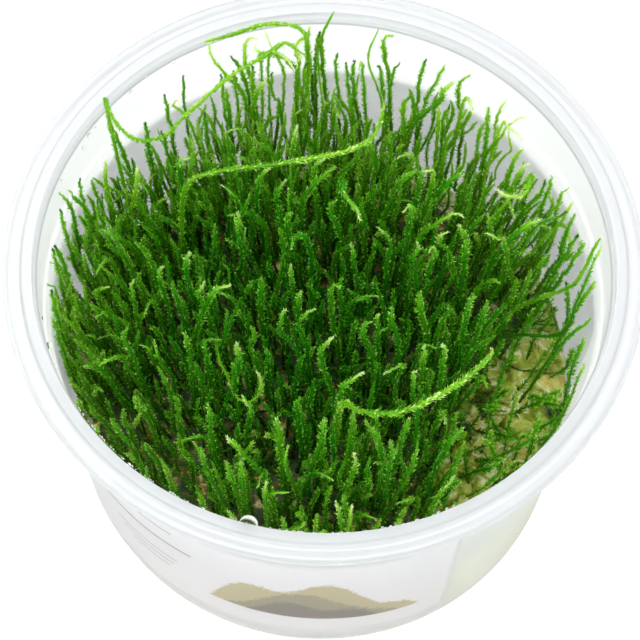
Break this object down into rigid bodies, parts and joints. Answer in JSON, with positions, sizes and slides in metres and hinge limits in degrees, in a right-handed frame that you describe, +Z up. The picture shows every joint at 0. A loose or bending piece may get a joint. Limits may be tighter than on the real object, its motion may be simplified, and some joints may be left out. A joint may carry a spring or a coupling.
{
  "type": "moss clump",
  "caption": "Clump of upright green water moss growing on agar gel in a clear round culture cup with a white wrap label.",
  "frame": {"origin": "centre of the cup's foot ring, on the surface that it stands on", "axes": "+Z up along the cup's axis, -Y towards the front of the label, +X to the right as the label is read"},
  "size_m": [0.1, 0.1, 0.0661],
  "materials": {
    "clear_plastic": "clear moulded polypropylene, slightly milky",
    "label_paper": "white film label with a satin face",
    "agar_gel": "pale yellowish clear gel, wet",
    "moss": "leafy, moist, mid to dark green",
    "young_moss": "leafy, moist, bright yellow-green"
  },
  "bodies": {
    "root": {"cup": "clear_plastic", "label": "label_paper", "gel": "agar_gel", "moss_mat": "moss", "runner_across": "young_moss", "runner_front": "young_moss", "runner_left": "young_moss", "runner_back": "young_moss", "runner_back_tall": "young_moss", "runner_back_right": "young_moss", "runner_right": "young_moss"}
  },
  "joints": []
}
